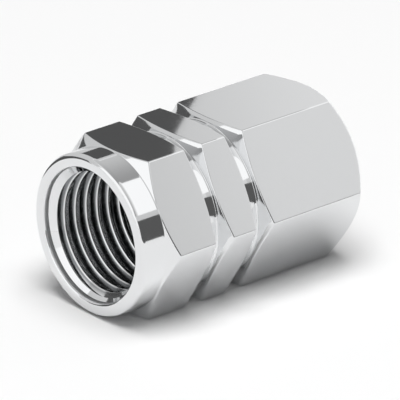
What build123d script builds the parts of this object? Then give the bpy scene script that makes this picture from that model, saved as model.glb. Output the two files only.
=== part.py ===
from build123d import *
from math import cos, pi, radians, tan
import os

# Tyre valve cap, in millimetres: a hexagonal bar turned, grooved, bored from one end and
# plated, with a rubber washer at the bottom of the bore that seals on the valve's mouth.
#
# The cap lies on one flat of the hexagon. Its bore runs along Y and opens towards -Y.
# The origin is on the surface it lies on, midway along the cap, and +Z is up.
# Lengths along the cap are measured from its closed end, and depths from its mouth.

# Hexagonal bar
across_flats = 9.5
bar_edge_radius = 0.15

# Closed end, turned to a cone that leaves a round end face
end_face_radius = 4.4
end_chamfer_angle = 42.0
end_edge_radius = 0.12

# Bands of the hexagon left standing beside the turned grooves
closed_block_length = 7.45
middle_band_length = 1.65
mouth_band_length = 2.55

# Turned grooves, both cut with one tool; the width is taken across the bar's corners
groove_width = 1.3
groove_floor_radius = 4.45
groove_flank_angle = 18.0
groove_corner_radius = 0.12

# Shoulder and round collar at the mouth
shoulder_angle = 30.0
collar_length = 1.6
collar_flat_clearance = 0.05
collar_edge_chamfer = 0.1

# Bore: a pilot recess, a lead-in cone, the threaded wall at its tapping size, and a pocket
pilot_recess_radius = 3.9
pilot_recess_depth = 0.38
lead_in_angle = 45.0
thread_wall_radius = 3.5
threaded_depth = 9.5
washer_pocket_radius = 4.0
washer_pocket_length = 2.0
centre_drill_radius = 1.6
drill_point_angle = 118.0

# Sealing washer, pressed past the thread and held behind it in the pocket
washer_radial_clearance = 0.05
washer_hole_radius = 1.75
washer_thickness = 1.5
washer_edge_chamfer = 0.12

# How far the turning profiles reach past the corners of the bar
turning_margin = 0.5

# Sizes that follow from those above
corner_radius = across_flats / 2 / cos(pi / 6)
turning_radius = corner_radius + turning_margin
collar_radius = across_flats / 2 - collar_flat_clearance
shoulder_slope = tan(radians(shoulder_angle))
shoulder_length = (corner_radius - collar_radius) * shoulder_slope
second_groove_start = closed_block_length + groove_width + middle_band_length
shoulder_start = second_groove_start + groove_width + mouth_band_length
shoulder_end = shoulder_start + shoulder_length
cap_length = shoulder_end + collar_length
bore_depth = threaded_depth + washer_pocket_length
washer_outer_radius = washer_pocket_radius - washer_radial_clearance

# The bar is seen end on in one plane, and cut along the cap's axis in the other. In the
# section plane x is the length from the closed end, and y the radius.
axis_height = across_flats / 2
closed_end = Plane(origin=(0, cap_length / 2, axis_height), x_dir=(1, 0, 0), z_dir=(0, -1, 0))
section = Plane(origin=closed_end.origin, x_dir=closed_end.z_dir, z_dir=(-1, 0, 0))
cap_axis = Axis(closed_end.origin, closed_end.z_dir)

# Outside of the cap as the lathe leaves it: end cone, bar, shoulder and collar
with BuildSketch(section) as turned_outline:
    with BuildLine():
        Polyline(
            (0, 0),
            (0, end_face_radius),
            ((turning_radius - end_face_radius) * tan(radians(end_chamfer_angle)), turning_radius),
            (shoulder_end - (turning_radius - collar_radius) * shoulder_slope, turning_radius),
            (shoulder_end, collar_radius),
            (cap_length, collar_radius),
            (cap_length, 0),
            close=True,
        )
    make_face()
    fillet(turned_outline.vertices().group_by(Axis.X)[0].sort_by(Axis.Y)[-1], end_edge_radius)
    chamfer(turned_outline.vertices().group_by(Axis.X)[-1].sort_by(Axis.Y)[-1], collar_edge_chamfer)

# One groove at each of its two places, with flanks that lean outwards and a rounded floor
floor_inset = (corner_radius - groove_floor_radius) * tan(radians(groove_flank_angle))
mouth_inset = (turning_radius - corner_radius) * tan(radians(groove_flank_angle))
with BuildSketch(section) as groove_outlines:
    for groove_start in (closed_block_length, second_groove_start):
        groove_end = groove_start + groove_width
        with BuildLine():
            Polyline(
                (groove_start - mouth_inset, turning_radius),
                (groove_start + floor_inset, groove_floor_radius),
                (groove_end - floor_inset, groove_floor_radius),
                (groove_end + mouth_inset, turning_radius),
                close=True,
            )
        make_face()
    fillet(groove_outlines.vertices().group_by(Axis.Y)[0], groove_corner_radius)

# Bore from the mouth inwards, ending in the mark of the centre drill
recess_end = cap_length - pilot_recess_depth
lead_in_end = recess_end - (pilot_recess_radius - thread_wall_radius) / tan(radians(lead_in_angle))
pocket_start = cap_length - threaded_depth
pocket_end = cap_length - bore_depth
drill_point_length = centre_drill_radius / tan(radians(drill_point_angle / 2))
with BuildSketch(section) as bore_outline:
    with BuildLine():
        Polyline(
            (cap_length, 0),
            (cap_length, pilot_recess_radius),
            (recess_end, pilot_recess_radius),
            (lead_in_end, thread_wall_radius),
            (pocket_start, thread_wall_radius),
            (pocket_start, washer_pocket_radius),
            (pocket_end, washer_pocket_radius),
            (pocket_end, centre_drill_radius),
            (pocket_end - drill_point_length, 0),
            close=True,
        )
    make_face()

# Shell: bar with its long edges eased, then turned, grooved and bored
with BuildPart() as cap_shell:
    with BuildSketch(closed_end):
        RegularPolygon(across_flats / 2, 6, major_radius=False)
    extrude(amount=cap_length)
    fillet(cap_shell.edges().filter_by(Axis.Y), bar_edge_radius)
    revolve(turned_outline.sketch, axis=cap_axis, mode=Mode.INTERSECT)
    revolve(groove_outlines.sketch, axis=cap_axis, mode=Mode.SUBTRACT)
    revolve(bore_outline.sketch, axis=cap_axis, mode=Mode.SUBTRACT)

# Washer: a flat rubber ring with softened edges, seated on the end of its pocket
with BuildPart() as sealing_washer:
    with BuildSketch(section) as washer_outline:
        with BuildLine():
            Polyline(
                (pocket_end, washer_hole_radius),
                (pocket_end, washer_outer_radius),
                (pocket_end + washer_thickness, washer_outer_radius),
                (pocket_end + washer_thickness, washer_hole_radius),
                close=True,
            )
        make_face()
        chamfer(washer_outline.vertices(), washer_edge_chamfer)
    revolve(axis=cap_axis)

cap_shell.part.label = "cap_shell"
sealing_washer.part.label = "sealing_washer"

os.makedirs("parts", exist_ok=True)
export_step(cap_shell.part, "parts/cap_shell.step")
export_step(sealing_washer.part, "parts/sealing_washer.step")
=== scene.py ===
"""A chromed tyre valve cap that lies on one flat of its hexagon, modelled and dressed.

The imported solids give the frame. The cap's shell is modelled again here with its real thread
and the small radii that catch the light, and the rubber washer in its bore with its moulded
edges. The cap lies along Y with its mouth towards -Y, and +Z is up. Every length is in
millimetres until it is passed to Blender, which works in metres.
"""
from __future__ import annotations

import logging
import math
from dataclasses import dataclass
from enum import Enum
from typing import Callable, Sequence

import bmesh
import bpy
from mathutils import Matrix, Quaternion, Vector


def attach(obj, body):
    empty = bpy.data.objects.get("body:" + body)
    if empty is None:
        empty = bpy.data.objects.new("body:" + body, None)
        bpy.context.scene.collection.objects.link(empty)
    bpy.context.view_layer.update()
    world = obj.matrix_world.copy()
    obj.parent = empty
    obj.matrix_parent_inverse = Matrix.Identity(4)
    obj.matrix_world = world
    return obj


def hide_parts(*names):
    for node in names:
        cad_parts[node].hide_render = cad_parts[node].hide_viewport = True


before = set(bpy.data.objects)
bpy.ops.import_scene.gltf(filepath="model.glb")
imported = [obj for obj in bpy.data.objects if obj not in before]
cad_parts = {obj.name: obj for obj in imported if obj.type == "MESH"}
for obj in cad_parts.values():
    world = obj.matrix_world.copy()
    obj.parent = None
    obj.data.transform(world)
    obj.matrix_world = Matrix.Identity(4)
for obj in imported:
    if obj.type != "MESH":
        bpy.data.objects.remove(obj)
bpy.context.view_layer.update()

MM = 0.001
LOG = logging.getLogger("valve_cap")
Socket = bpy.types.NodeSocket

# Width of the bar across its flats, and the height of the cap's axis as it lies on one of them
ACROSS_FLATS = 9.5
AXIS_HEIGHT = ACROSS_FLATS / 2

# Faces that meet at less than this angle, in degrees, are shaded as one
SMOOTH_ANGLE = 32.0

# Sockets of the Mix node, by number because several share a name
FLOAT_A, FLOAT_B, FLOAT_RESULT = 2, 3, 0
COLOUR_A, COLOUR_B, COLOUR_RESULT = 6, 7, 2


def linear(hex_colour: str) -> tuple[float, float, float, float]:
    """Turn an sRGB hex colour to linear.

    Args:
        hex_colour: Six hex digits, such as "D4D5D6".

    Returns:
        Linear red, green and blue, and an alpha of one.
    """
    channels = [int(hex_colour[i:i + 2], 16) / 255 for i in (0, 2, 4)]
    bent = [c / 12.92 if c <= 0.04045 else ((c + 0.055) / 1.055) ** 2.4 for c in channels]
    return (bent[0], bent[1], bent[2], 1.0)


def add_node(
    tree: bpy.types.NodeTree,
    kind: str,
    settings: dict[str | int, object] | None = None,
    links: dict[str | int, Socket] | None = None,
) -> bpy.types.Node:
    """Add a node, set its values and link its inputs.

    Args:
        tree: The node tree that it joins.
        kind: The node's type name.
        settings: Values by the name or number of an input, or else by a property of the node.
        links: Output sockets by the name or number of the input that each one feeds.

    Returns:
        The new node.
    """
    node = tree.nodes.new(kind)
    for name, value in (settings or {}).items():
        if isinstance(name, int) or name in node.inputs:
            node.inputs[name].default_value = value
        else:
            setattr(node, name, value)
    for name, source in (links or {}).items():
        tree.links.new(source, node.inputs[name])
    return node


def new_material(name: str) -> tuple[bpy.types.Material, bpy.types.NodeTree]:
    """Make an empty material.

    Args:
        name: The finish's own name.

    Returns:
        The material and its empty node tree.
    """
    material = bpy.data.materials.new(name)
    material.use_nodes = True
    material.node_tree.nodes.clear()
    return material, material.node_tree


def mirrored_directly(tree: bpy.types.NodeTree) -> Socket:
    """Tell what the eye or a mirroring surface sees from the light that the matt floor gathers.

    Args:
        tree: The node tree that asks.

    Returns:
        One along a path with no matt surface on it yet, and nought after that.
    """
    path = add_node(tree, "ShaderNodeLightPath")
    direct = add_node(
        tree, "ShaderNodeMath", {"operation": "LESS_THAN", 1: 0.5}, {0: path.outputs["Diffuse Depth"]},
    )
    return direct.outputs[0]


@dataclass(frozen=True)
class Span:
    """The two ends of a range."""

    low: float
    high: float


@dataclass(frozen=True)
class SurfacePlace:
    """Where a point of the surface lies on the cap, as the outputs of nodes in a tree.

    The spoke is the vector from the cap's axis, and the radius its length.
    """

    tree: bpy.types.NodeTree
    point: Socket
    y: Socket
    spoke: Socket
    radius: Socket


def surface_place(tree: bpy.types.NodeTree) -> SurfacePlace:
    """Work out where a point lies on the cap from its Object coordinates.

    Args:
        tree: The node tree that needs it.

    Returns:
        The point's place.
    """
    point = add_node(tree, "ShaderNodeTexCoord").outputs["Object"]
    split = add_node(tree, "ShaderNodeSeparateXYZ", links={"Vector": point})
    from_axis = add_node(
        tree, "ShaderNodeVectorMath", {"operation": "SUBTRACT", 1: (0.0, 0.0, AXIS_HEIGHT * MM)}, {0: point},
    )
    spoke = add_node(
        tree, "ShaderNodeVectorMath", {"operation": "MULTIPLY", 1: (1.0, 0.0, 1.0)}, {0: from_axis.outputs[0]},
    )
    radius = add_node(tree, "ShaderNodeVectorMath", {"operation": "LENGTH"}, {0: spoke.outputs[0]})
    return SurfacePlace(tree, point, split.outputs["Y"], spoke.outputs[0], radius.outputs["Value"])


def bored_space(place: SurfacePlace, end: float, radius: float) -> Socket:
    """Mark the surfaces of a round space that is open at the mouth.

    Args:
        place: Where the point lies on the cap.
        end: The space's far end in Y.
        radius: The space's radius.

    Returns:
        One within the space and nought elsewhere.
    """
    tree = place.tree
    before_end = add_node(tree, "ShaderNodeMath", {"operation": "LESS_THAN", 1: end * MM}, {0: place.y})
    near_axis = add_node(tree, "ShaderNodeMath", {"operation": "LESS_THAN", 1: radius * MM}, {0: place.radius})
    return add_node(
        tree, "ShaderNodeMath", {"operation": "MULTIPLY"}, {0: before_end.outputs[0], 1: near_axis.outputs[0]},
    ).outputs[0]


@dataclass(frozen=True)
class ChromePlate:
    """Bright decorative chrome, plated over polished brass.

    Polishing leaves the flats very slightly wavy, so what they mirror has uneven edges, and
    dulls them in faint patches. The plating bath reaches into the bore only weakly: between the
    crests of the thread the wall is less sharp, and it is coloured greyer, which is partly the thinner
    plating and partly painted shade in the thread's hollows. The recess at the mouth is left as
    the boring tool cut it, and the end face shows the rings of the facing tool.
    """

    name: str = "bright_chrome_plate"
    colour: str = "E4E5E6"

    # Haze of the polish, in patches of this length, and the roughness that it spans
    haze_length: float = 0.25
    haze_detail: float = 3.0
    haze_breakup: float = 0.6
    haze: Span = Span(0.35, 0.75)
    roughness: Span = Span(0.05, 0.09)

    # Waves that the buffing wheel leaves on the flats
    wave_length: float = 2.2
    wave_depth: float = 0.0006
    wave_detail: float = 1.0

    # Bore between the crests of the thread, whose darker colour is partly thinner plating and partly
    # painted shade in the hollows: radii at which it begins and ends, and its reach in Y
    bore_plate_and_shade_colour: str = "7E8082"
    bore_haze: Span = Span(0.3, 0.7)
    bore_roughness: Span = Span(0.15, 0.26)
    bore_crest: Span = Span(3.53, 3.61)
    bore_radius: float = 4.1
    bore_start: Span = Span(-7.3, -7.15)
    bore_end: float = 6.0

    # Recess at the mouth
    recess_radius: float = 3.93
    recess_end: float = -7.78
    recess_roughness: float = 0.45

    # Rings that the facing tool leaves on the end face
    ring_pitch: float = 0.24
    ring_depth: float = 0.0005
    end_face_start: float = 8.13

    def bore_share(self, place: SurfacePlace) -> Socket:
        """Mark the bore's wall between the crests, weakly plated and darkened with painted shade.

        Args:
            place: Where the point lies on the cap.

        Returns:
            One between the crests of the thread, nought outside the bore, and a short fade.
        """
        tree = place.tree
        past_crest = add_node(tree, "ShaderNodeMapRange", {
            "From Min": self.bore_crest.low * MM, "From Max": self.bore_crest.high * MM,
        }, {"Value": place.radius})
        past_start = add_node(tree, "ShaderNodeMapRange", {
            "From Min": self.bore_start.low * MM, "From Max": self.bore_start.high * MM,
        }, {"Value": place.y})
        beyond = add_node(
            tree, "ShaderNodeMath", {"operation": "MULTIPLY"},
            {0: past_crest.outputs["Result"], 1: past_start.outputs["Result"]},
        )
        return add_node(
            tree, "ShaderNodeMath", {"operation": "MULTIPLY"},
            {0: beyond.outputs[0], 1: bored_space(place, self.bore_end, self.bore_radius)},
        ).outputs[0]

    def dulling(self, place: SurfacePlace, bore: Socket) -> Socket:
        """Give the roughness of the polished outside, of the recess and of the bore.

        Args:
            place: Where the point lies on the cap.
            bore: The share of the bore's wall.

        Returns:
            The roughness.
        """
        tree = place.tree
        haze = add_node(tree, "ShaderNodeTexNoise", {
            "Scale": 1 / (self.haze_length * MM), "Detail": self.haze_detail, "Roughness": self.haze_breakup,
        }, {"Vector": place.point}).outputs["Fac"]
        polished = add_node(tree, "ShaderNodeMapRange", {
            "From Min": self.haze.low, "From Max": self.haze.high,
            "To Min": self.roughness.low, "To Max": self.roughness.high,
        }, {"Value": haze})
        plain = add_node(tree, "ShaderNodeMapRange", {
            "From Min": self.bore_haze.low, "From Max": self.bore_haze.high,
            "To Min": self.bore_roughness.low, "To Max": self.bore_roughness.high,
        }, {"Value": haze})
        recess = bored_space(place, self.recess_end, self.recess_radius)
        outside = add_node(
            tree, "ShaderNodeMix", {"data_type": "FLOAT", FLOAT_B: self.recess_roughness},
            {"Factor": recess, FLOAT_A: polished.outputs["Result"]},
        )
        return add_node(
            tree, "ShaderNodeMix", {"data_type": "FLOAT"},
            {"Factor": bore, FLOAT_A: outside.outputs[FLOAT_RESULT], FLOAT_B: plain.outputs["Result"]},
        ).outputs[FLOAT_RESULT]

    def relief(self, place: SurfacePlace) -> Socket:
        """Raise the buffing waves and the rings on the end face.

        Args:
            place: Where the point lies on the cap.

        Returns:
            The bent normal.
        """
        tree = place.tree
        waves = add_node(tree, "ShaderNodeTexNoise", {
            "Scale": 1 / (self.wave_length * MM), "Detail": self.wave_detail,
        }, {"Vector": place.point})
        wavy = add_node(tree, "ShaderNodeBump", {
            "Strength": 1.0, "Distance": self.wave_depth * MM,
        }, {"Height": waves.outputs["Fac"]})
        # A wave texture of scale one repeats every pi / 10
        rings = add_node(tree, "ShaderNodeTexWave", {
            "wave_type": "RINGS", "rings_direction": "SPHERICAL", "Scale": math.pi / (10 * self.ring_pitch * MM),
        }, {"Vector": place.spoke})
        on_end_face = add_node(
            tree, "ShaderNodeMath", {"operation": "GREATER_THAN", 1: self.end_face_start * MM}, {0: place.y},
        )
        tool_marks = add_node(
            tree, "ShaderNodeMath", {"operation": "MULTIPLY"}, {0: rings.outputs["Fac"], 1: on_end_face.outputs[0]},
        )
        return add_node(tree, "ShaderNodeBump", {
            "Strength": 1.0, "Distance": self.ring_depth * MM,
        }, {"Height": tool_marks.outputs[0], "Normal": wavy.outputs["Normal"]}).outputs["Normal"]

    def material(self) -> bpy.types.Material:
        """Build the plated finish.

        Returns:
            The material.
        """
        material, tree = new_material(self.name)
        place = surface_place(tree)
        bore = self.bore_share(place)
        # The bore's wall between the crests takes the darker colour: partly thinner plating, partly painted shade
        # in the thread's hollows
        colour = add_node(
            tree, "ShaderNodeMix",
            {"data_type": "RGBA", COLOUR_A: linear(self.colour), COLOUR_B: linear(self.bore_plate_and_shade_colour)},
            {"Factor": bore},
        )
        shader = add_node(tree, "ShaderNodeBsdfPrincipled", {"Metallic": 1.0}, {
            "Base Color": colour.outputs[COLOUR_RESULT],
            "Roughness": self.dulling(place, bore),
            "Normal": self.relief(place),
        })
        add_node(tree, "ShaderNodeOutputMaterial", links={"Surface": shader.outputs[0]})
        return material


@dataclass(frozen=True)
class BlackRubber:
    """Nitrile rubber filled with carbon black, moulded.

    The mould's blasted wall leaves a fine dull grain, and wax that rises to the surface greys
    it in soft patches.
    """

    name: str = "moulded_nitrile_rubber"
    colour: str = "19191A"
    bloom_colour: str = "2E2E2D"
    roughness: float = 0.55
    bloom_roughness: float = 0.72
    refraction: float = 1.52

    # Patches of wax
    bloom_length: float = 1.4
    bloom_detail: float = 3.0
    bloom_breakup: float = 0.55
    bloom: Span = Span(0.4, 0.65)

    # Grain of the mould
    grain_length: float = 0.11
    grain_depth: float = 0.012
    grain_detail: float = 2.0

    def material(self) -> bpy.types.Material:
        """Build the rubber finish.

        Returns:
            The material.
        """
        material, tree = new_material(self.name)
        point = add_node(tree, "ShaderNodeTexCoord").outputs["Object"]
        patches = add_node(tree, "ShaderNodeTexNoise", {
            "Scale": 1 / (self.bloom_length * MM), "Detail": self.bloom_detail, "Roughness": self.bloom_breakup,
        }, {"Vector": point})
        bloom = add_node(tree, "ShaderNodeMapRange", {
            "From Min": self.bloom.low, "From Max": self.bloom.high,
        }, {"Value": patches.outputs["Fac"]}).outputs["Result"]
        colour = add_node(
            tree, "ShaderNodeMix",
            {"data_type": "RGBA", COLOUR_A: linear(self.colour), COLOUR_B: linear(self.bloom_colour)},
            {"Factor": bloom},
        )
        roughness = add_node(tree, "ShaderNodeMapRange", {
            "To Min": self.roughness, "To Max": self.bloom_roughness,
        }, {"Value": bloom})
        grain = add_node(tree, "ShaderNodeTexNoise", {
            "Scale": 1 / (self.grain_length * MM), "Detail": self.grain_detail,
        }, {"Vector": point})
        surface = add_node(tree, "ShaderNodeBump", {
            "Strength": 1.0, "Distance": self.grain_depth * MM,
        }, {"Height": grain.outputs["Fac"]})
        shader = add_node(tree, "ShaderNodeBsdfPrincipled", {"IOR": self.refraction}, {
            "Base Color": colour.outputs[COLOUR_RESULT],
            "Roughness": roughness.outputs["Result"],
            "Normal": surface.outputs["Normal"],
        })
        add_node(tree, "ShaderNodeOutputMaterial", links={"Surface": shader.outputs[0]})
        return material


@dataclass(frozen=True)
class BackdropPaper:
    """Seamless matt paper for the floor, which scatters light evenly."""

    name: str
    colour: str

    def material(self) -> bpy.types.Material:
        """Build the matt finish.

        Returns:
            The material.
        """
        material, tree = new_material(self.name)
        shader = add_node(tree, "ShaderNodeBsdfDiffuse", {"Color": linear(self.colour)})
        add_node(tree, "ShaderNodeOutputMaterial", links={"Surface": shader.outputs[0]})
        return material


class Grade(Enum):
    """Which way a studio card's tone changes."""

    ALONG = "X"
    ACROSS = "Y"


@dataclass(frozen=True)
class CardTone:
    """A studio card's tone, lit from within so that the lamp doesn't change it.

    A graded card goes from its colour to its end colour between two places, which are
    fractions of its length or width from its middle.
    """

    name: str
    colour: str
    strength: float = 1.0
    end_colour: str | None = None
    grade: Grade = Grade.ACROSS
    between: Span = Span(-0.5, 0.5)

    def material(self) -> bpy.types.Material:
        """Build the card's tone.

        Returns:
            The material.
        """
        material, tree = new_material(self.name)
        glow = add_node(
            tree, "ShaderNodeMath", {"operation": "MULTIPLY", 1: self.strength}, {0: mirrored_directly(tree)},
        )
        shader = add_node(
            tree, "ShaderNodeEmission", {"Color": linear(self.colour)}, {"Strength": glow.outputs[0]},
        )
        if self.end_colour:
            point = add_node(tree, "ShaderNodeTexCoord").outputs["Object"]
            split = add_node(tree, "ShaderNodeSeparateXYZ", links={"Vector": point})
            share = add_node(tree, "ShaderNodeMapRange", {
                "interpolation_type": "SMOOTHSTEP", "From Min": self.between.low, "From Max": self.between.high,
            }, {"Value": split.outputs[self.grade.value]})
            blend = add_node(
                tree, "ShaderNodeMix",
                {"data_type": "RGBA", COLOUR_A: linear(self.colour), COLOUR_B: linear(self.end_colour)},
                {"Factor": share.outputs["Result"]},
            )
            tree.links.new(blend.outputs[COLOUR_RESULT], shader.inputs["Color"])
        add_node(tree, "ShaderNodeOutputMaterial", links={"Surface": shader.outputs[0]})
        return material


@dataclass(frozen=True)
class Corner:
    """One corner of a turned outline: its place, and the radius that rounds it."""

    along: float
    radius: float
    rounding: float = 0.0


def rounded_outline(corners: Sequence[Corner], arc_parts: int) -> list[tuple[float, float]]:
    """Replace each rounded corner of a turned outline with an arc.

    Args:
        corners: The outline's corners in order.
        arc_parts: How many straight parts an arc has.

    Returns:
        Points of the outline, as (along, radius).
    """
    points: list[tuple[float, float]] = []
    for index, corner in enumerate(corners):
        here = Vector((corner.along, corner.radius))
        if corner.rounding <= 0:
            points.append((here.x, here.y))
            continue
        before = Vector((corners[index - 1].along, corners[index - 1].radius)) - here
        after = Vector((corners[index + 1].along, corners[index + 1].radius)) - here
        half = before.angle(after) / 2
        middle = here + (before.normalized() + after.normalized()).normalized() * corner.rounding / math.sin(half)
        start = here + before.normalized() * corner.rounding / math.tan(half) - middle
        turn = start.angle_signed(here + after.normalized() * corner.rounding / math.tan(half) - middle)
        for part in range(arc_parts + 1):
            bend = -turn * part / arc_parts
            spoke = Vector((
                start.x * math.cos(bend) - start.y * math.sin(bend),
                start.x * math.sin(bend) + start.y * math.cos(bend),
            ))
            points.append((middle.x + spoke.x, middle.y + spoke.y))
    return points


@dataclass(frozen=True)
class CapAxis:
    """The cap's own axis, from its closed end towards its mouth at -Y."""

    closed_end: float
    height: float

    def point(self, along: float) -> tuple[float, float, float]:
        """Give a point on the axis, in metres, from its length along the cap."""
        return (0.0, (self.closed_end - along) * MM, self.height * MM)


def take_up(piece: bpy.types.Object) -> None:
    """Select one piece alone and make it the active one.

    Args:
        piece: The piece to work on next.
    """
    bpy.ops.object.select_all(action="DESELECT")
    bpy.context.view_layer.objects.active = piece
    piece.select_set(True)


def start_piece(name: str) -> bpy.types.Object:
    """Name the primitive just added, and apply its place and turn to its mesh.

    Args:
        name: The piece's name.

    Returns:
        The piece.
    """
    piece = bpy.context.active_object
    piece.name = name
    bpy.ops.object.transform_apply(location=True, rotation=True, scale=True)
    return piece


def select_edges(piece: bpy.types.Object, wanted: Callable[[bmesh.types.BMEdge], bool]) -> None:
    """Select only the wanted edges of a piece that is in edit mode.

    Args:
        piece: The piece.
        wanted: Says whether an edge is one of them.
    """
    bpy.ops.mesh.select_all(action="DESELECT")
    mesh = bmesh.from_edit_mesh(piece.data)
    for edge in mesh.edges:
        if wanted(edge):
            edge.select_set(True)
    bmesh.update_edit_mesh(piece.data)


def merge_doubles(distance: float) -> None:
    """Merge the active piece's doubled points.

    Args:
        distance: How far apart such points may lie.
    """
    bpy.ops.object.mode_set(mode="EDIT")
    bpy.ops.mesh.select_all(action="SELECT")
    bpy.ops.mesh.remove_doubles(threshold=distance * MM)
    bpy.ops.object.mode_set(mode="OBJECT")


def face_outwards(piece: bpy.types.Object) -> None:
    """Point every face of a closed piece outwards.

    Args:
        piece: The piece, which is the active object.
    """
    bpy.ops.object.mode_set(mode="EDIT")
    bpy.ops.mesh.select_all(action="SELECT")
    bpy.ops.mesh.normals_make_consistent(inside=False)
    if bmesh.from_edit_mesh(piece.data).calc_volume(signed=True) < 0:
        bpy.ops.mesh.flip_normals()
    bpy.ops.object.mode_set(mode="OBJECT")


def turn_on_lathe(
    name: str, outline: Sequence[tuple[float, float]], steps: int, axis: CapAxis
) -> bpy.types.Object:
    """Turn a closed solid, ring by ring: a disc is extruded along the axis and resized.

    Args:
        name: The piece's name.
        outline: Rings in order, as (along, radius).
        steps: Sides of each ring.
        axis: The axis that it turns about.

    Returns:
        The turned solid.
    """
    along, radius = outline[0]
    bpy.ops.mesh.primitive_circle_add(
        vertices=steps, radius=radius * MM, fill_type="NGON",
        location=axis.point(along), rotation=(math.pi / 2, 0, 0),
    )
    piece = start_piece(name)
    bpy.ops.object.mode_set(mode="EDIT")
    bpy.ops.mesh.select_all(action="SELECT")
    for next_along, next_radius in outline[1:]:
        bpy.ops.mesh.extrude_region_move(
            TRANSFORM_OT_translate={"value": (0.0, (along - next_along) * MM, 0.0)}
        )
        factor = next_radius / radius
        bpy.ops.transform.resize(value=(factor, 1.0, factor), center_override=axis.point(next_along))
        along, radius = next_along, next_radius
    bpy.ops.object.mode_set(mode="OBJECT")
    face_outwards(piece)
    return piece


class Cut(Enum):
    """What a tool does to the stock that it meets."""

    KEEP_INSIDE = "INTERSECT"
    REMOVE = "DIFFERENCE"


def machine(stock: bpy.types.Object, tool: bpy.types.Object, cut: Cut) -> None:
    """Cut one solid with another, and throw the tool away.

    Args:
        stock: The solid that stays.
        tool: The solid that cuts it.
        cut: Whether what lies inside the tool is kept or removed.
    """
    take_up(stock)
    modifier = stock.modifiers.new("cut", "BOOLEAN")
    modifier.operation = cut.value
    modifier.solver = "EXACT"
    modifier.object = tool
    bpy.ops.object.modifier_apply(modifier=modifier.name)
    bpy.data.objects.remove(tool, do_unlink=True)


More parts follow.
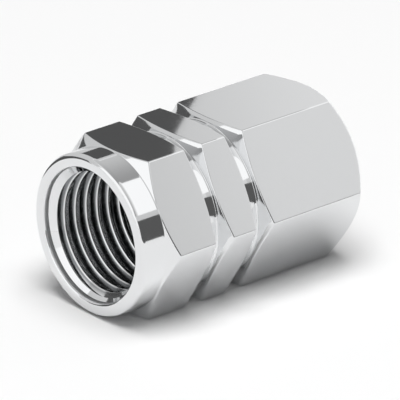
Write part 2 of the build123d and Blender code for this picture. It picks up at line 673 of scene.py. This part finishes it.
@dataclass(frozen=True)
class CapShell:
    """The cap's metal shell: hexagonal bar, turned, grooved, bored, threaded and plated.

    Places along the cap are measured from its closed end, and depths from its mouth.
    """

    finish: ChromePlate

    # Bar and closed end
    across_flats: float = ACROSS_FLATS
    bar_edge_radius: float = 0.1
    end_face_radius: float = 4.4
    end_chamfer_angle: float = 42.0
    end_edge_radius: float = 0.12

    # Bands of the hexagon that the grooves leave, and the grooves
    closed_block_length: float = 7.45
    middle_band_length: float = 1.65
    mouth_band_length: float = 2.55
    groove_width: float = 1.3
    groove_floor_radius: float = 4.45
    groove_flank_angle: float = 18.0
    groove_corner_radius: float = 0.12

    # Shoulder and collar
    shoulder_angle: float = 30.0
    collar_length: float = 1.6
    collar_flat_clearance: float = 0.05
    collar_edge_radius: float = 0.28

    # Bore: recess, lead-in cone, threaded wall, the washer's pocket and the drill point
    pilot_recess_radius: float = 3.9
    pilot_recess_depth: float = 0.38
    pilot_edge_radius: float = 0.2
    lead_in_angle: float = 45.0
    thread_wall_radius: float = 3.5
    threaded_depth: float = 9.5
    washer_pocket_radius: float = 4.0
    washer_pocket_length: float = 2.0
    centre_drill_radius: float = 1.6
    drill_point_angle: float = 118.0
    drill_tip_radius: float = 0.001

    # Thread, 32 turns to the inch, with the angle between its flanks and a flat root. The tap
    # skims the wall so that no two faces coincide, and reaches past the thread at both ends.
    thread_pitch: float = 25.4 / 32
    thread_angle: float = 60.0
    thread_root_radius: float = 3.87
    thread_root_flat: float = 1 / 8
    thread_crest_rounding: float = 0.05
    thread_root_rounding: float = 0.03
    thread_steps: int = 120
    tap_skim: float = 0.004
    tap_clearance: float = 0.05

    # Edges between flats and turned faces, as polishing leaves them
    polished_edge: float = 0.055
    polished_edge_parts: int = 3
    polished_edge_angle: float = 22.0

    # How finely the shapes are drawn, how far the turning outlines pass the bar's corners, and
    # how far inside its edge each end of the turned body starts as a disc
    lathe_steps: int = 240
    arc_parts: int = 4
    turning_margin: float = 0.5
    disc_inset: float = 1.0

    # How far apart two points may be to become one, after turning, tapping and the last cut
    turned_merge: float = 0.002
    tap_merge: float = 0.001
    last_merge: float = 0.0001

    @property
    def corner_radius(self) -> float:
        """Radius to the bar's corners."""
        return self.across_flats / 2 / math.cos(math.pi / 6)

    @property
    def turning_radius(self) -> float:
        """Radius that the turning outlines reach, clear of the bar's corners."""
        return self.corner_radius + self.turning_margin

    @property
    def collar_radius(self) -> float:
        """Radius of the round collar, just inside the flats."""
        return self.across_flats / 2 - self.collar_flat_clearance

    @property
    def shoulder_slope(self) -> float:
        """Rise along the cap for each unit of radius on the shoulder."""
        return math.tan(math.radians(self.shoulder_angle))

    @property
    def groove_starts(self) -> tuple[float, float]:
        """Where each groove begins."""
        first = self.closed_block_length
        return (first, first + self.groove_width + self.middle_band_length)

    @property
    def shoulder_end(self) -> float:
        """Where the shoulder meets the collar."""
        shoulder_start = self.groove_starts[1] + self.groove_width + self.mouth_band_length
        return shoulder_start + (self.corner_radius - self.collar_radius) * self.shoulder_slope

    @property
    def length(self) -> float:
        """The cap's whole length."""
        return self.shoulder_end + self.collar_length

    @property
    def axis(self) -> CapAxis:
        """The cap's axis, with the cap's middle over the frame's origin."""
        return CapAxis(closed_end=self.length / 2, height=self.across_flats / 2)

    def bar(self) -> bpy.types.Object:
        """Make the hexagonal bar with its long edges eased.

        Returns:
            The bar, a little longer than the cap at both ends.
        """
        bpy.ops.mesh.primitive_cylinder_add(
            vertices=6, radius=self.corner_radius * MM,
            depth=(self.length + 2 * self.turning_margin) * MM,
            location=self.axis.point(self.length / 2), rotation=(math.pi / 2, math.pi / 6, 0),
        )
        piece = start_piece("cap_shell_bar")
        bpy.ops.object.mode_set(mode="EDIT")
        select_edges(piece, lambda edge: edge.calc_length() > self.length * MM)
        bpy.ops.mesh.bevel(
            offset=self.bar_edge_radius * math.tan(math.pi / 6) * MM, segments=self.arc_parts + 1, affect="EDGES",
        )
        bpy.ops.object.mode_set(mode="OBJECT")
        return piece

    def turned_body(self) -> bpy.types.Object:
        """Turn the outside of the cap as a full round, grooves and collar included.

        Returns:
            The solid that the bar is cut to.
        """
        flank = math.tan(math.radians(self.groove_flank_angle))
        floor_inset = (self.corner_radius - self.groove_floor_radius) * flank
        rim_inset = (self.turning_radius - self.corner_radius) * flank
        chamfer_run = (self.turning_radius - self.end_face_radius) * math.tan(math.radians(self.end_chamfer_angle))
        corners = [
            Corner(0.0, self.end_face_radius - self.disc_inset),
            Corner(0.0, self.end_face_radius, self.end_edge_radius),
            Corner(chamfer_run, self.turning_radius),
        ]
        for start in self.groove_starts:
            end = start + self.groove_width
            corners += [
                Corner(start - rim_inset, self.turning_radius),
                Corner(start + floor_inset, self.groove_floor_radius, self.groove_corner_radius),
                Corner(end - floor_inset, self.groove_floor_radius, self.groove_corner_radius),
                Corner(end + rim_inset, self.turning_radius),
            ]
        shoulder_top = self.shoulder_end - (self.turning_radius - self.collar_radius) * self.shoulder_slope
        corners += [
            Corner(shoulder_top, self.turning_radius),
            Corner(self.shoulder_end, self.collar_radius),
            Corner(self.length, self.collar_radius, self.collar_edge_radius),
            Corner(self.length, self.pilot_recess_radius - self.disc_inset),
        ]
        return turn_on_lathe("turned_body", rounded_outline(corners, self.arc_parts), self.lathe_steps, self.axis)

    def bore(self) -> bpy.types.Object:
        """Turn the space of the bore: recess, lead-in, threaded wall, pocket and drill point.

        Returns:
            The solid that the bore removes.
        """
        recess_end = self.length - self.pilot_recess_depth
        lead_in = (self.pilot_recess_radius - self.thread_wall_radius) / math.tan(math.radians(self.lead_in_angle))
        pocket_start = self.length - self.threaded_depth
        pocket_end = pocket_start - self.washer_pocket_length
        point = self.centre_drill_radius / math.tan(math.radians(self.drill_point_angle / 2))
        flare = self.pilot_edge_radius
        # The first two corners rise a little off the rim's face, so the cut rounds only its edge
        corners = [
            Corner(self.length + self.turning_margin, self.pilot_recess_radius + 3 * flare),
            Corner(self.length + flare / 10, self.pilot_recess_radius + 2 * flare),
            Corner(self.length, self.pilot_recess_radius, flare),
            Corner(recess_end, self.pilot_recess_radius),
            Corner(recess_end - lead_in, self.thread_wall_radius),
            Corner(pocket_start, self.thread_wall_radius),
            Corner(pocket_start, self.washer_pocket_radius),
            Corner(pocket_end, self.washer_pocket_radius),
            Corner(pocket_end, self.centre_drill_radius),
            Corner(pocket_end - point, self.drill_tip_radius),
        ]
        return turn_on_lathe("bore", rounded_outline(corners, self.arc_parts), self.lathe_steps, self.axis)

    def thread_form(self) -> list[tuple[float, float]]:
        """Draw one turn of the thread: a crest between two half roots.

        Returns:
            Points of the form, as (along, radius), with the middle of the crest at nought.
        """
        depth = self.thread_root_radius - self.thread_wall_radius
        flank_run = depth * math.tan(math.radians(self.thread_angle / 2))
        root_flat = self.thread_pitch * self.thread_root_flat
        crest_flat = self.thread_pitch - root_flat - 2 * flank_run
        crest, root = self.thread_wall_radius + self.tap_skim, self.thread_root_radius
        return rounded_outline([
            Corner(-crest_flat / 2 - flank_run - root_flat / 2, root),
            Corner(-crest_flat / 2 - flank_run, root, self.thread_root_rounding),
            Corner(-crest_flat / 2, crest, self.thread_crest_rounding),
            Corner(crest_flat / 2, crest, self.thread_crest_rounding),
            Corner(crest_flat / 2 + flank_run, root, self.thread_root_rounding),
            Corner(crest_flat / 2 + flank_run + root_flat / 2, root),
        ], self.arc_parts)

    def form_line(self, start: float) -> bpy.types.Object:
        """Draw the thread's form as a line of edges above the axis.

        Args:
            start: Where the middle of its crest lies along the cap.

        Returns:
            The line.
        """
        bpy.ops.mesh.primitive_plane_add(size=MM, location=(0, 0, self.axis.height * MM))
        piece = bpy.context.active_object
        piece.name = "tap"
        bpy.ops.object.mode_set(mode="EDIT")
        bpy.ops.mesh.select_all(action="SELECT")
        bpy.ops.mesh.merge(type="CENTER")
        place = (0.0, 0.0)
        for index, (along, radius) in enumerate(self.thread_form()):
            target = ((self.axis.closed_end - start + along) * MM, radius * MM)
            step = (0.0, target[0] - place[0], target[1] - place[1])
            if index == 0:
                bpy.ops.transform.translate(value=step)
            else:
                bpy.ops.mesh.extrude_region_move(TRANSFORM_OT_translate={"value": step})
            place = target
        bpy.ops.object.mode_set(mode="OBJECT")
        return piece

    def tap(self) -> bpy.types.Object:
        """Make the tap: the thread's form, screwed along the bore and closed at both ends.

        Returns:
            The solid that cuts the thread, which turns to the right.
        """
        start = self.length + self.thread_pitch + self.tap_clearance
        turns = math.ceil((self.threaded_depth + start - self.length + self.tap_clearance) / self.thread_pitch)
        piece = self.form_line(start)
        screw = piece.modifiers.new("thread", "SCREW")
        screw.axis = "Y"
        screw.angle = 2 * math.pi
        screw.screw_offset = self.thread_pitch * MM
        screw.iterations = turns
        screw.steps = screw.render_steps = self.thread_steps
        screw.use_merge_vertices = True
        screw.merge_threshold = self.tap_merge * MM
        bpy.ops.object.modifier_apply(modifier=screw.name)
        bpy.ops.object.transform_apply(location=True)
        merge_doubles(self.tap_merge)
        middle = (self.axis.closed_end - start) * MM + turns * self.thread_pitch * MM / 2
        bpy.ops.object.mode_set(mode="EDIT")
        for nearer_mouth in (True, False):
            select_edges(piece, lambda edge: edge.is_boundary and (edge.verts[0].co.y < middle) == nearer_mouth)
            bpy.ops.mesh.extrude_region_move()
            bpy.ops.mesh.merge(type="CENTER")
        bpy.ops.object.mode_set(mode="OBJECT")
        face_outwards(piece)
        return piece

    def ease_edges(self, shell: bpy.types.Object) -> None:
        """Round the edges between the flats and the turned faces, as polishing leaves them.

        Args:
            shell: The turned shell, before it is bored.
        """
        take_up(shell)
        merge_doubles(self.turned_merge)
        bevel = shell.modifiers.new("polish", "BEVEL")
        bevel.width = self.polished_edge * MM
        bevel.segments = self.polished_edge_parts
        bevel.limit_method = "ANGLE"
        bevel.angle_limit = math.radians(self.polished_edge_angle)
        bevel.use_clamp_overlap = False
        bpy.ops.object.modifier_apply(modifier=bevel.name)

    def dress(self, shell: bpy.types.Object) -> None:
        """Shade and plate the shell, and put it in the place of its solid.

        Args:
            shell: The finished mesh, which is the active object.
        """
        bpy.ops.object.shade_smooth_by_angle(angle=math.radians(SMOOTH_ANGLE))
        weighted = shell.modifiers.new("face_weights", "WEIGHTED_NORMAL")
        weighted.keep_sharp = True
        bpy.ops.object.modifier_apply(modifier=weighted.name)
        shell.data.materials.clear()
        shell.data.materials.append(self.finish.material())
        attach(shell, "root")
        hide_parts("cap_shell")

    def build(self) -> bpy.types.Object:
        """Make the shell and dress it.

        Returns:
            The finished piece.
        """
        shell = self.bar()
        machine(shell, self.turned_body(), Cut.KEEP_INSIDE)
        self.ease_edges(shell)
        machine(shell, self.bore(), Cut.REMOVE)
        machine(shell, self.tap(), Cut.REMOVE)
        shell.name = "valve_cap_shell"
        take_up(shell)
        merge_doubles(self.last_merge)
        face_outwards(shell)
        self.dress(shell)
        return shell


@dataclass(frozen=True)
class SealingWasher:
    """The rubber ring at the bottom of the bore, pressed in behind the thread."""

    finish: BlackRubber
    shell: CapShell
    radial_clearance: float = 0.05
    hole_radius: float = 1.75
    thickness: float = 1.5
    edge_radius: float = 0.15
    punch_margin: float = 1.0
    lathe_steps: int = 96
    arc_parts: int = 4

    @property
    def seat(self) -> float:
        """Where the ring sits, from the cap's closed end."""
        return self.shell.length - self.shell.threaded_depth - self.shell.washer_pocket_length

    def disc(self) -> bpy.types.Object:
        """Turn the ring as a full disc with rounded edges.

        Returns:
            The disc.
        """
        outer = self.shell.washer_pocket_radius - self.radial_clearance
        top = self.seat + self.thickness
        outline = rounded_outline([
            Corner(self.seat, self.hole_radius),
            Corner(self.seat, outer, self.edge_radius),
            Corner(top, outer, self.edge_radius),
            Corner(top, self.hole_radius),
        ], self.arc_parts)
        return turn_on_lathe("sealing_ring", outline, self.lathe_steps, self.shell.axis)

    def punch(self) -> bpy.types.Object:
        """Turn the punch for the hole.

        Returns:
            A round solid that passes the disc on both sides.
        """
        outline = [
            (self.seat - self.punch_margin, self.hole_radius),
            (self.seat + self.thickness + self.punch_margin, self.hole_radius),
        ]
        return turn_on_lathe("washer_hole", outline, self.lathe_steps, self.shell.axis)

    def dress(self, ring: bpy.types.Object) -> None:
        """Shade the ring, give it its rubber and put it in the place of its solid.

        Args:
            ring: The finished mesh, which is the active object.
        """
        bpy.ops.object.shade_smooth_by_angle(angle=math.radians(SMOOTH_ANGLE))
        ring.data.materials.clear()
        ring.data.materials.append(self.finish.material())
        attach(ring, "root")
        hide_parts("sealing_washer")

    def build(self) -> bpy.types.Object:
        """Make the ring and dress it.

        Returns:
            The finished piece.
        """
        ring = self.disc()
        machine(ring, self.punch(), Cut.REMOVE)
        face_outwards(ring)
        self.dress(ring)
        return ring


@dataclass(frozen=True)
class StudioCard:
    """A flat card that the chrome mirrors, out of the camera's sight."""

    name: str
    centre: tuple[float, float, float]
    aim: tuple[float, float, float]
    width: float
    height: float
    tone: CardTone
    roll: float = 0.0

    def build(self) -> bpy.types.Object:
        """Stand the card up, facing what it is aimed at.

        Returns:
            The card.
        """
        place = Vector(self.centre) * MM
        bpy.ops.mesh.primitive_plane_add(size=1.0, location=place)
        card = bpy.context.active_object
        card.name = self.name
        card.scale = (self.width * MM, self.height * MM, 1.0)
        facing = (Vector(self.aim) * MM - place).to_track_quat("Z", "Y")
        card.rotation_euler = (facing @ Quaternion((0, 0, 1), math.radians(self.roll))).to_euler()
        card.data.materials.append(self.tone.material())
        card.visible_camera = False
        card.visible_diffuse = False
        card.visible_shadow = False
        return card


@dataclass(frozen=True)
class Strip:
    """Where a long card hangs: parallel to the cap, between two angles about its axis.

    The angles are in degrees about the cap's axis, from +X on the right towards +Z above.
    """

    low_angle: float
    high_angle: float
    distance: float
    near_y: float
    far_y: float

    @property
    def middle(self) -> tuple[float, float, float]:
        """Centre of the strip."""
        angle = math.radians((self.low_angle + self.high_angle) / 2)
        return (
            self.distance * math.cos(angle),
            (self.near_y + self.far_y) / 2,
            AXIS_HEIGHT + self.distance * math.sin(angle),
        )

    @property
    def foot(self) -> tuple[float, float, float]:
        """Point on the cap's axis that the strip faces."""
        return (0.0, (self.near_y + self.far_y) / 2, AXIS_HEIGHT)

    @property
    def across(self) -> float:
        """The strip's width about the axis."""
        return 2 * self.distance * math.tan(math.radians((self.high_angle - self.low_angle) / 2))

    @property
    def along(self) -> float:
        """The strip's length along the cap."""
        return self.far_y - self.near_y

    def card(self, name: str, tone: CardTone) -> StudioCard:
        """Give the card that hangs here."""
        return StudioCard(name, self.middle, self.foot, self.along, self.across, tone)


@dataclass(frozen=True)
class Softbox:
    """A square lamp with an even face, which lights the floor and the rubber."""

    name: str
    centre: tuple[float, float, float]
    aim: tuple[float, float, float]
    side: float
    radiance: float

    def build(self) -> bpy.types.Object:
        """Hang the lamp.

        Returns:
            The lamp.
        """
        lamp = bpy.data.lights.new(self.name, "AREA")
        lamp.shape = "SQUARE"
        lamp.size = self.side * MM
        lamp.energy = self.radiance * math.pi * lamp.size ** 2
        piece = bpy.data.objects.new(self.name, lamp)
        bpy.context.collection.objects.link(piece)
        piece.location = Vector(self.centre) * MM
        piece.rotation_euler = (Vector(self.aim) * MM - piece.location).to_track_quat("-Z", "Y").to_euler()
        piece.visible_camera = False
        piece.visible_glossy = False
        return piece


@dataclass(frozen=True)
class ViewCamera:
    """The camera, at the photograph's viewing angle: degrees about Z from -Y, and above the floor."""

    azimuth: float = 49.05
    elevation: float = 23.45
    distance: float = 300.0
    frame_width: float = 22.4
    sensor_width: float = 36.0
    target: tuple[float, float, float] = (0.0, 0.0, 4.6)
    clip: Span = Span(10.0, 20000.0)

    def build(self) -> bpy.types.Object:
        """Set up the camera and make it the scene's.

        Returns:
            The camera.
        """
        turn, rise = math.radians(self.azimuth), math.radians(self.elevation)
        back = Vector((
            math.sin(turn) * math.cos(rise), -math.cos(turn) * math.cos(rise), math.sin(rise),
        ))
        camera = bpy.data.cameras.new("camera")
        camera.sensor_width = self.sensor_width
        camera.lens = camera.sensor_width * self.distance / self.frame_width
        camera.clip_start = self.clip.low * MM
        camera.clip_end = self.clip.high * MM
        piece = bpy.data.objects.new("camera", camera)
        bpy.context.collection.objects.link(piece)
        piece.location = (Vector(self.target) + back * self.distance) * MM
        piece.rotation_euler = back.to_track_quat("Z", "Y").to_euler()
        bpy.context.scene.camera = piece
        return piece


@dataclass(frozen=True)
class Studio:
    """Camera, floor, world, lamp, and the cards that the chrome mirrors."""

    camera: ViewCamera = ViewCamera()
    floor: BackdropPaper = BackdropPaper("white_seamless_paper", "F8F8F8")
    floor_radius: float = 500.0
    floor_sides: int = 128
    fill: float = 0.2
    lamp: Softbox = Softbox("overhead_softbox", centre=(105, -60, 600), aim=(0, 0, 0), side=420, radiance=6.7)
    face_strength: float = 1.2

    def build_floor(self) -> bpy.types.Object:
        """Lay the pale floor.

        Returns:
            The floor.
        """
        bpy.ops.mesh.primitive_circle_add(
            vertices=self.floor_sides, radius=self.floor_radius * MM, fill_type="NGON",
        )
        floor = bpy.context.active_object
        floor.name = "floor"
        floor.data.materials.append(self.floor.material())
        return floor

    def build_world(self) -> None:
        """Light the scene evenly, with a white background for the camera and for the metal."""
        world = bpy.data.worlds.new("white_studio")
        world.use_nodes = True
        bpy.context.scene.world = world
        tree = world.node_tree
        tree.nodes.clear()
        path = add_node(tree, "ShaderNodeLightPath").outputs
        seen = add_node(
            tree, "ShaderNodeMath", {"operation": "ADD"}, {0: path["Is Camera Ray"], 1: path["Is Glossy Ray"]},
        )
        seen_or_passed = add_node(
            tree, "ShaderNodeMath", {"operation": "ADD", "use_clamp": True},
            {0: seen.outputs[0], 1: path["Is Transmission Ray"]},
        )
        white_share = add_node(
            tree, "ShaderNodeMath", {"operation": "MULTIPLY"},
            {0: seen_or_passed.outputs[0], 1: mirrored_directly(tree)},
        )
        fill = add_node(tree, "ShaderNodeBackground", {"Color": (self.fill, self.fill, self.fill, 1.0)})
        white = add_node(tree, "ShaderNodeBackground", {"Color": (1.0, 1.0, 1.0, 1.0)})
        mix = add_node(
            tree, "ShaderNodeMixShader",
            links={"Fac": white_share.outputs[0], 1: fill.outputs[0], 2: white.outputs[0]},
        )
        add_node(tree, "ShaderNodeOutputWorld", links={"Surface": mix.outputs[0]})

    def long_cards(self) -> list[StudioCard]:
        """Lay out the long cards that hang parallel to the cap.

        From the camera's side the upper right flats mirror the narrow pale board and the top flats
        the pale board on the left. Their grades fall within the cap's length, so a flat changes
        tone from end to end. The round collar and grooves sweep past all the cards, which gives
        them bands of dark, pale, white and grey.

        Returns:
            The cards.
        """
        key = Strip(low_angle=33.5, high_angle=80.0, distance=500, near_y=-220, far_y=560)
        behind = Strip(low_angle=33.5, high_angle=80.0, distance=500, near_y=-720, far_y=-220)
        ceiling = Strip(low_angle=81.0, high_angle=128.0, distance=480, near_y=-425, far_y=425)
        low_right = Strip(low_angle=-8.0, high_angle=27.0, distance=300, near_y=-330, far_y=330)
        right = Strip(low_angle=27.0, high_angle=33.5, distance=300, near_y=-330, far_y=330)
        left = Strip(low_angle=129.0, high_angle=178.0, distance=300, near_y=-500, far_y=500)
        return [
            key.card("key_face", CardTone(
                "lit_softbox_face_graded", "FFFFFF", self.face_strength, end_colour="C4C4C4",
                grade=Grade.ALONG, between=Span(-0.1, 0.4),
            )),
            behind.card("grey_card_behind", CardTone("grey_board_behind", "B4B4B4", end_colour="DCDCDC")),
            ceiling.card("ceiling_card", CardTone("grey_board", "D2D2D2", end_colour="A6A6A6")),
            low_right.card("dark_card_right", CardTone("dark_board", "5F5F5F")),
            right.card("pale_card_right", CardTone(
                "pale_board_right", "ECECEC", end_colour="DADADA", grade=Grade.ALONG, between=Span(-0.356, -0.311),
            )),
            left.card("pale_card_left", CardTone(
                "pale_board_left", "DADADA", end_colour="EEEEEE", grade=Grade.ALONG, between=Span(0.218, 0.25),
            )),
        ]

    def single_cards(self) -> list[StudioCard]:
        """Lay out the cards that stand by themselves.

        The lit face before the mouth whitens the shoulder and the rim's rounded edge. The small
        dark boards close by darken the top flats towards the mouth and the grooves' flanks.

        Returns:
            The cards.
        """
        lit = CardTone("lit_softbox_face", "FFFFFF", self.face_strength)
        dark = CardTone("dark_board_beside", "585858")
        return [
            StudioCard(
                "front_face", centre=(-120, -400, 200), aim=(0, 0, 5), width=900, height=360, tone=lit,
            ),
            StudioCard(
                "dark_card_beside", centre=(-20, 8.65, 23), aim=(0, 8.65, 23), width=13.3, height=16.0, tone=dark,
            ),
            StudioCard(
                "dark_card_low", centre=(-30, -24, 6.5), aim=(0, -24, 6.5), width=30, height=13, tone=dark,
            ),
            StudioCard(
                "dark_card_foot", centre=(-20, 13.9, 18.0), aim=(0, 13.9, 18.0), width=6.0, height=6.0,
                tone=dark, roll=40.0,
            ),
        ]

    def build(self) -> None:
        """Set up the whole studio."""
        self.camera.build()
        self.build_floor()
        self.build_world()
        self.lamp.build()
        for card in (*self.long_cards(), *self.single_cards()):
            card.build()


def main() -> None:
    """Build the studio and the cap, and report each piece."""
    logging.basicConfig(level=logging.INFO, format="%(message)s")
    bpy.context.scene.view_settings.view_transform = "Standard"
    Studio().build()
    shell = CapShell(finish=ChromePlate())
    for part in (shell, SealingWasher(finish=BlackRubber(), shell=shell)):
        piece = part.build()
        LOG.info("%s: %d faces", piece.name, len(piece.data.polygons))


if __name__ == "__main__":
    main()
